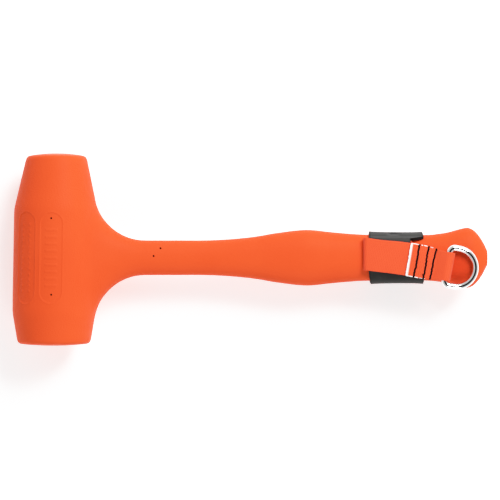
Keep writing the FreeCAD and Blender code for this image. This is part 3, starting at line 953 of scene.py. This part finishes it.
bm = bmesh.new()
across_bar = Matrix.Rotation(math.pi / 2, 4, "X")
bmesh.ops.create_circle(bm, segments=24, radius=wire_radius, matrix=across_bar)
ring = list(bm.edges)
bar_run = ring_half - ring_corner
ring = run_on(bm, ring, (0, -bar_run, 0))
ring = bend_on(bm, ring, (ring_corner, -bar_run, 0), 90, 10)
ring = run_on(bm, ring, (leg_end - ring_corner, 0, 0))
ring = bend_on(bm, ring, (leg_end, 0, 0), 180, 64)
ring = run_on(bm, ring, (ring_corner - leg_end, 0, 0))
ring = bend_on(bm, ring, (ring_corner, bar_run, 0), 90, 10)
ring = run_on(bm, ring, (0, -bar_run, 0))
bmesh.ops.remove_doubles(bm, verts=bm.verts, dist=0.01)
bmesh.ops.recalc_face_normals(bm, faces=bm.faces)
ring_middle = bar_place - ring_aside * Vector(joints["ring_swing"]["axis"])
place_ring = (
    Matrix.Translation(ring_middle * MM) @ Matrix.Rotation(-strap_turn - ring_skew, 4, "Z")
    @ Matrix.Rotation(ring_tilt, 4, "Y") @ Matrix.Scale(MM, 4)
)
bmesh.ops.transform(bm, matrix=place_ring, verts=bm.verts)
chrome, surface, place = new_material("bright_chrome", 0.08, metallic=1.0)
haze = place.node("ShaderNodeTexNoise", {}, {"Vector": place, "Scale": 300, "Detail": 4})
scuffs = place.node("ShaderNodeTexNoise", {}, {"Vector": place, "Scale": 1400, "Detail": 2})
feed(surface, "Base Color", haze.ramp(0.3, 0.7).mix((0.80, 0.81, 0.80, 1), (0.9, 0.9, 0.89, 1)))
feed(surface, "Roughness", scuffs.ramp(0.45, 0.8) * 0.12 + 0.06)
feed(surface, "Normal", place.node(
    "ShaderNodeBump", {}, {"Strength": 0.06, "Distance": 0.0002, "Height": haze},
))
d_ring = object_of(bm, "chrome_d_ring", chrome)
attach(d_ring, "ring")
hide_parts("d_ring")


# ---------------------------------------------------------------------------------------
# Sleeve: a short tube of black rubber, shrunk over the grip and the webbing's anchored
# end. It stands up in a low ridge over the webbing, and its ends are cut a little askew.
sleeve_low, sleeve_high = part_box("tether_sleeve")
sleeve_start = (sleeve_low.x - head_x) / MM
sleeve_end = (sleeve_high.x - head_x) / MM
sleeve_wall = 2.4


def sleeve_point(share, turn):
    """A point of the sleeve's skin; turn is 0 at the top and grows towards the narrow face."""
    up, side = math.cos(turn), math.sin(turn)
    start = sleeve_start + 0.9 * side ** 2 + (1.4 if side < 0 else 0.0) * side ** 4
    end = sleeve_end - (1.9 if side > 0 else 0.9) * side ** 4
    y = math.copysign(abs(side) ** (2 / squareness), side) * 20.1
    over_webbing = soft_step(y, fold_off_axis - 12.9, fold_off_axis - 12.1)
    over_webbing *= 1 - soft_step(y, fold_off_axis + 12.0, fold_off_axis + 13.8)
    if up > 0:
        end -= 10.6 * over_webbing
    x = start + (end - start) * share
    half_width, half_thickness = handle_half_sizes(x)
    waist = 0.5 * math.sin(math.pi * share) - 0.25
    curl = 0.5 * math.exp(-((share - 1) / 0.05) ** 2) + 0.4 * math.exp(-(share / 0.05) ** 2)
    extra = sleeve_wall - 0.1 - waist * 0.6 + curl * 0.3
    y = math.copysign(abs(side) ** (2 / squareness), side) * (half_width + extra)
    z = math.copysign(abs(up) ** (2 / squareness), up) * (half_thickness + extra)
    band = soft_step(y, fold_off_axis - 14.5, fold_off_axis - 12.2)
    band *= 1 - soft_step(y, fold_off_axis + 12.4, fold_off_axis + 13.6)
    groove = math.exp(-((y - fold_off_axis - 13.2) / 0.5) ** 2) if up > 0 else 0.0
    extra -= 0.5 * groove
    if up > 0:
        z += band * (webbing_thickness + 0.1) * soft_step(up, 0, 0.3)
    dent = math.exp(-((x - 258.5) / 4.5) ** 4) * math.exp(-((turn - 1.25) / 0.2) ** 4)
    return Vector((x, y - 1.0 * dent, z - 0.3 * dent))


def sleeve_shade(share, co):
    """Painted shade on the rubber: darker at its cut ends, along the webbing's edges where the webbing
    shades it, and in its dent.
    """
    cos, sin = math.cos(strap_turn), math.sin(strap_turn)
    from_fold = Vector((co.x - fold_from_head, co.y - fold_off_axis))
    out, side = from_fold.x * cos - from_fold.y * sin, from_fold.x * sin + from_fold.y * cos
    bow, width = strap_side(out)
    past_edge = abs(side - bow) - webbing_width / 2 * width
    # Painted shade at the cut ends, painted shadow beside the webbing's edges, and painted shade in the
    # dent.
    ends = math.exp(-(share / 0.02) ** 2) + math.exp(-((share - 1) / 0.02) ** 2)
    webbing_edge_shadow = math.exp(-(past_edge / 0.8) ** 2) if co.z > 0 else 0.0
    dent = math.exp(-((co.x - 259.6) / 5.2) ** 4 - ((co.y - 18.8) / 0.9) ** 2)
    return min(ends + webbing_edge_shadow + dent, 1.0)


bm = bmesh.new()
bmesh.ops.create_circle(bm, segments=192, radius=1, matrix=sideways)
ring = list(bm.edges)
sleeve_steps = 64
for step in range(sleeve_steps):
    ring = run_on(bm, ring, (1, 0, 0))
shade = bm.verts.layers.float.new("shade")
for vert in bm.verts:
    share, turn = vert.co.x / sleeve_steps, math.atan2(vert.co.y, vert.co.z)
    vert.co = sleeve_point(share, turn)
    vert[shade] = sleeve_shade(share, vert.co)
bmesh.ops.recalc_face_normals(bm, faces=bm.faces)
sleeve = object_of(bm, "rubber_sleeve")
with_modifier(sleeve, "SOLIDIFY", thickness=sleeve_wall - 0.1, offset=-1, use_even_offset=True)
with_modifier(
    sleeve, "BEVEL", width=0.5, segments=3, limit_method="ANGLE", angle_limit=math.radians(50),
)
sleeve.data.transform(to_frame)
for polygon in sleeve.data.polygons:
    polygon.use_smooth = True
rubber, surface, place = new_material("black_rubber", 0.55)
surface.inputs["Specular IOR Level"].default_value = 0.10
speck = place.node("ShaderNodeTexNoise", {}, {"Vector": place, "Scale": 2200, "Detail": 3})
bloom = place.node("ShaderNodeTexNoise", {}, {"Vector": place, "Scale": 90, "Detail": 4})
parts = place.node("ShaderNodeSeparateXYZ", {}, {"Vector": place})
# Painted light: the rubber is painted lighter on the side towards the key lamp and darker on the side
# away from it; the bloom is the rubber's own tone.
key_lit_side = parts.other_output(1).ramp(handle_y - 0.006, handle_y + 0.006)
grey = key_lit_side.mix((0.018, 0.018, 0.016, 1), (0.044, 0.044, 0.042, 1))
grey = (bloom.ramp(0.3, 0.75) * 0.25).mix(grey, (0.07, 0.07, 0.067, 1))
# The shade attribute paints the rubber nearly black where painted shade and shadow fall.
shaded = place.node("ShaderNodeAttribute", {"attribute_name": "shade"}, {}, output="Fac")
feed(surface, "Base Color", (shaded * 0.85).mix(grey, (0.006, 0.006, 0.006, 1)))
feed(surface, "Roughness", bloom * 0.2 + 0.42)
feed(surface, "Normal", place.node(
    "ShaderNodeBump", {}, {"Strength": 0.35, "Distance": 0.0001, "Height": speck},
))
sleeve.data.materials.append(rubber)
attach(sleeve, "root")
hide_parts("tether_sleeve")
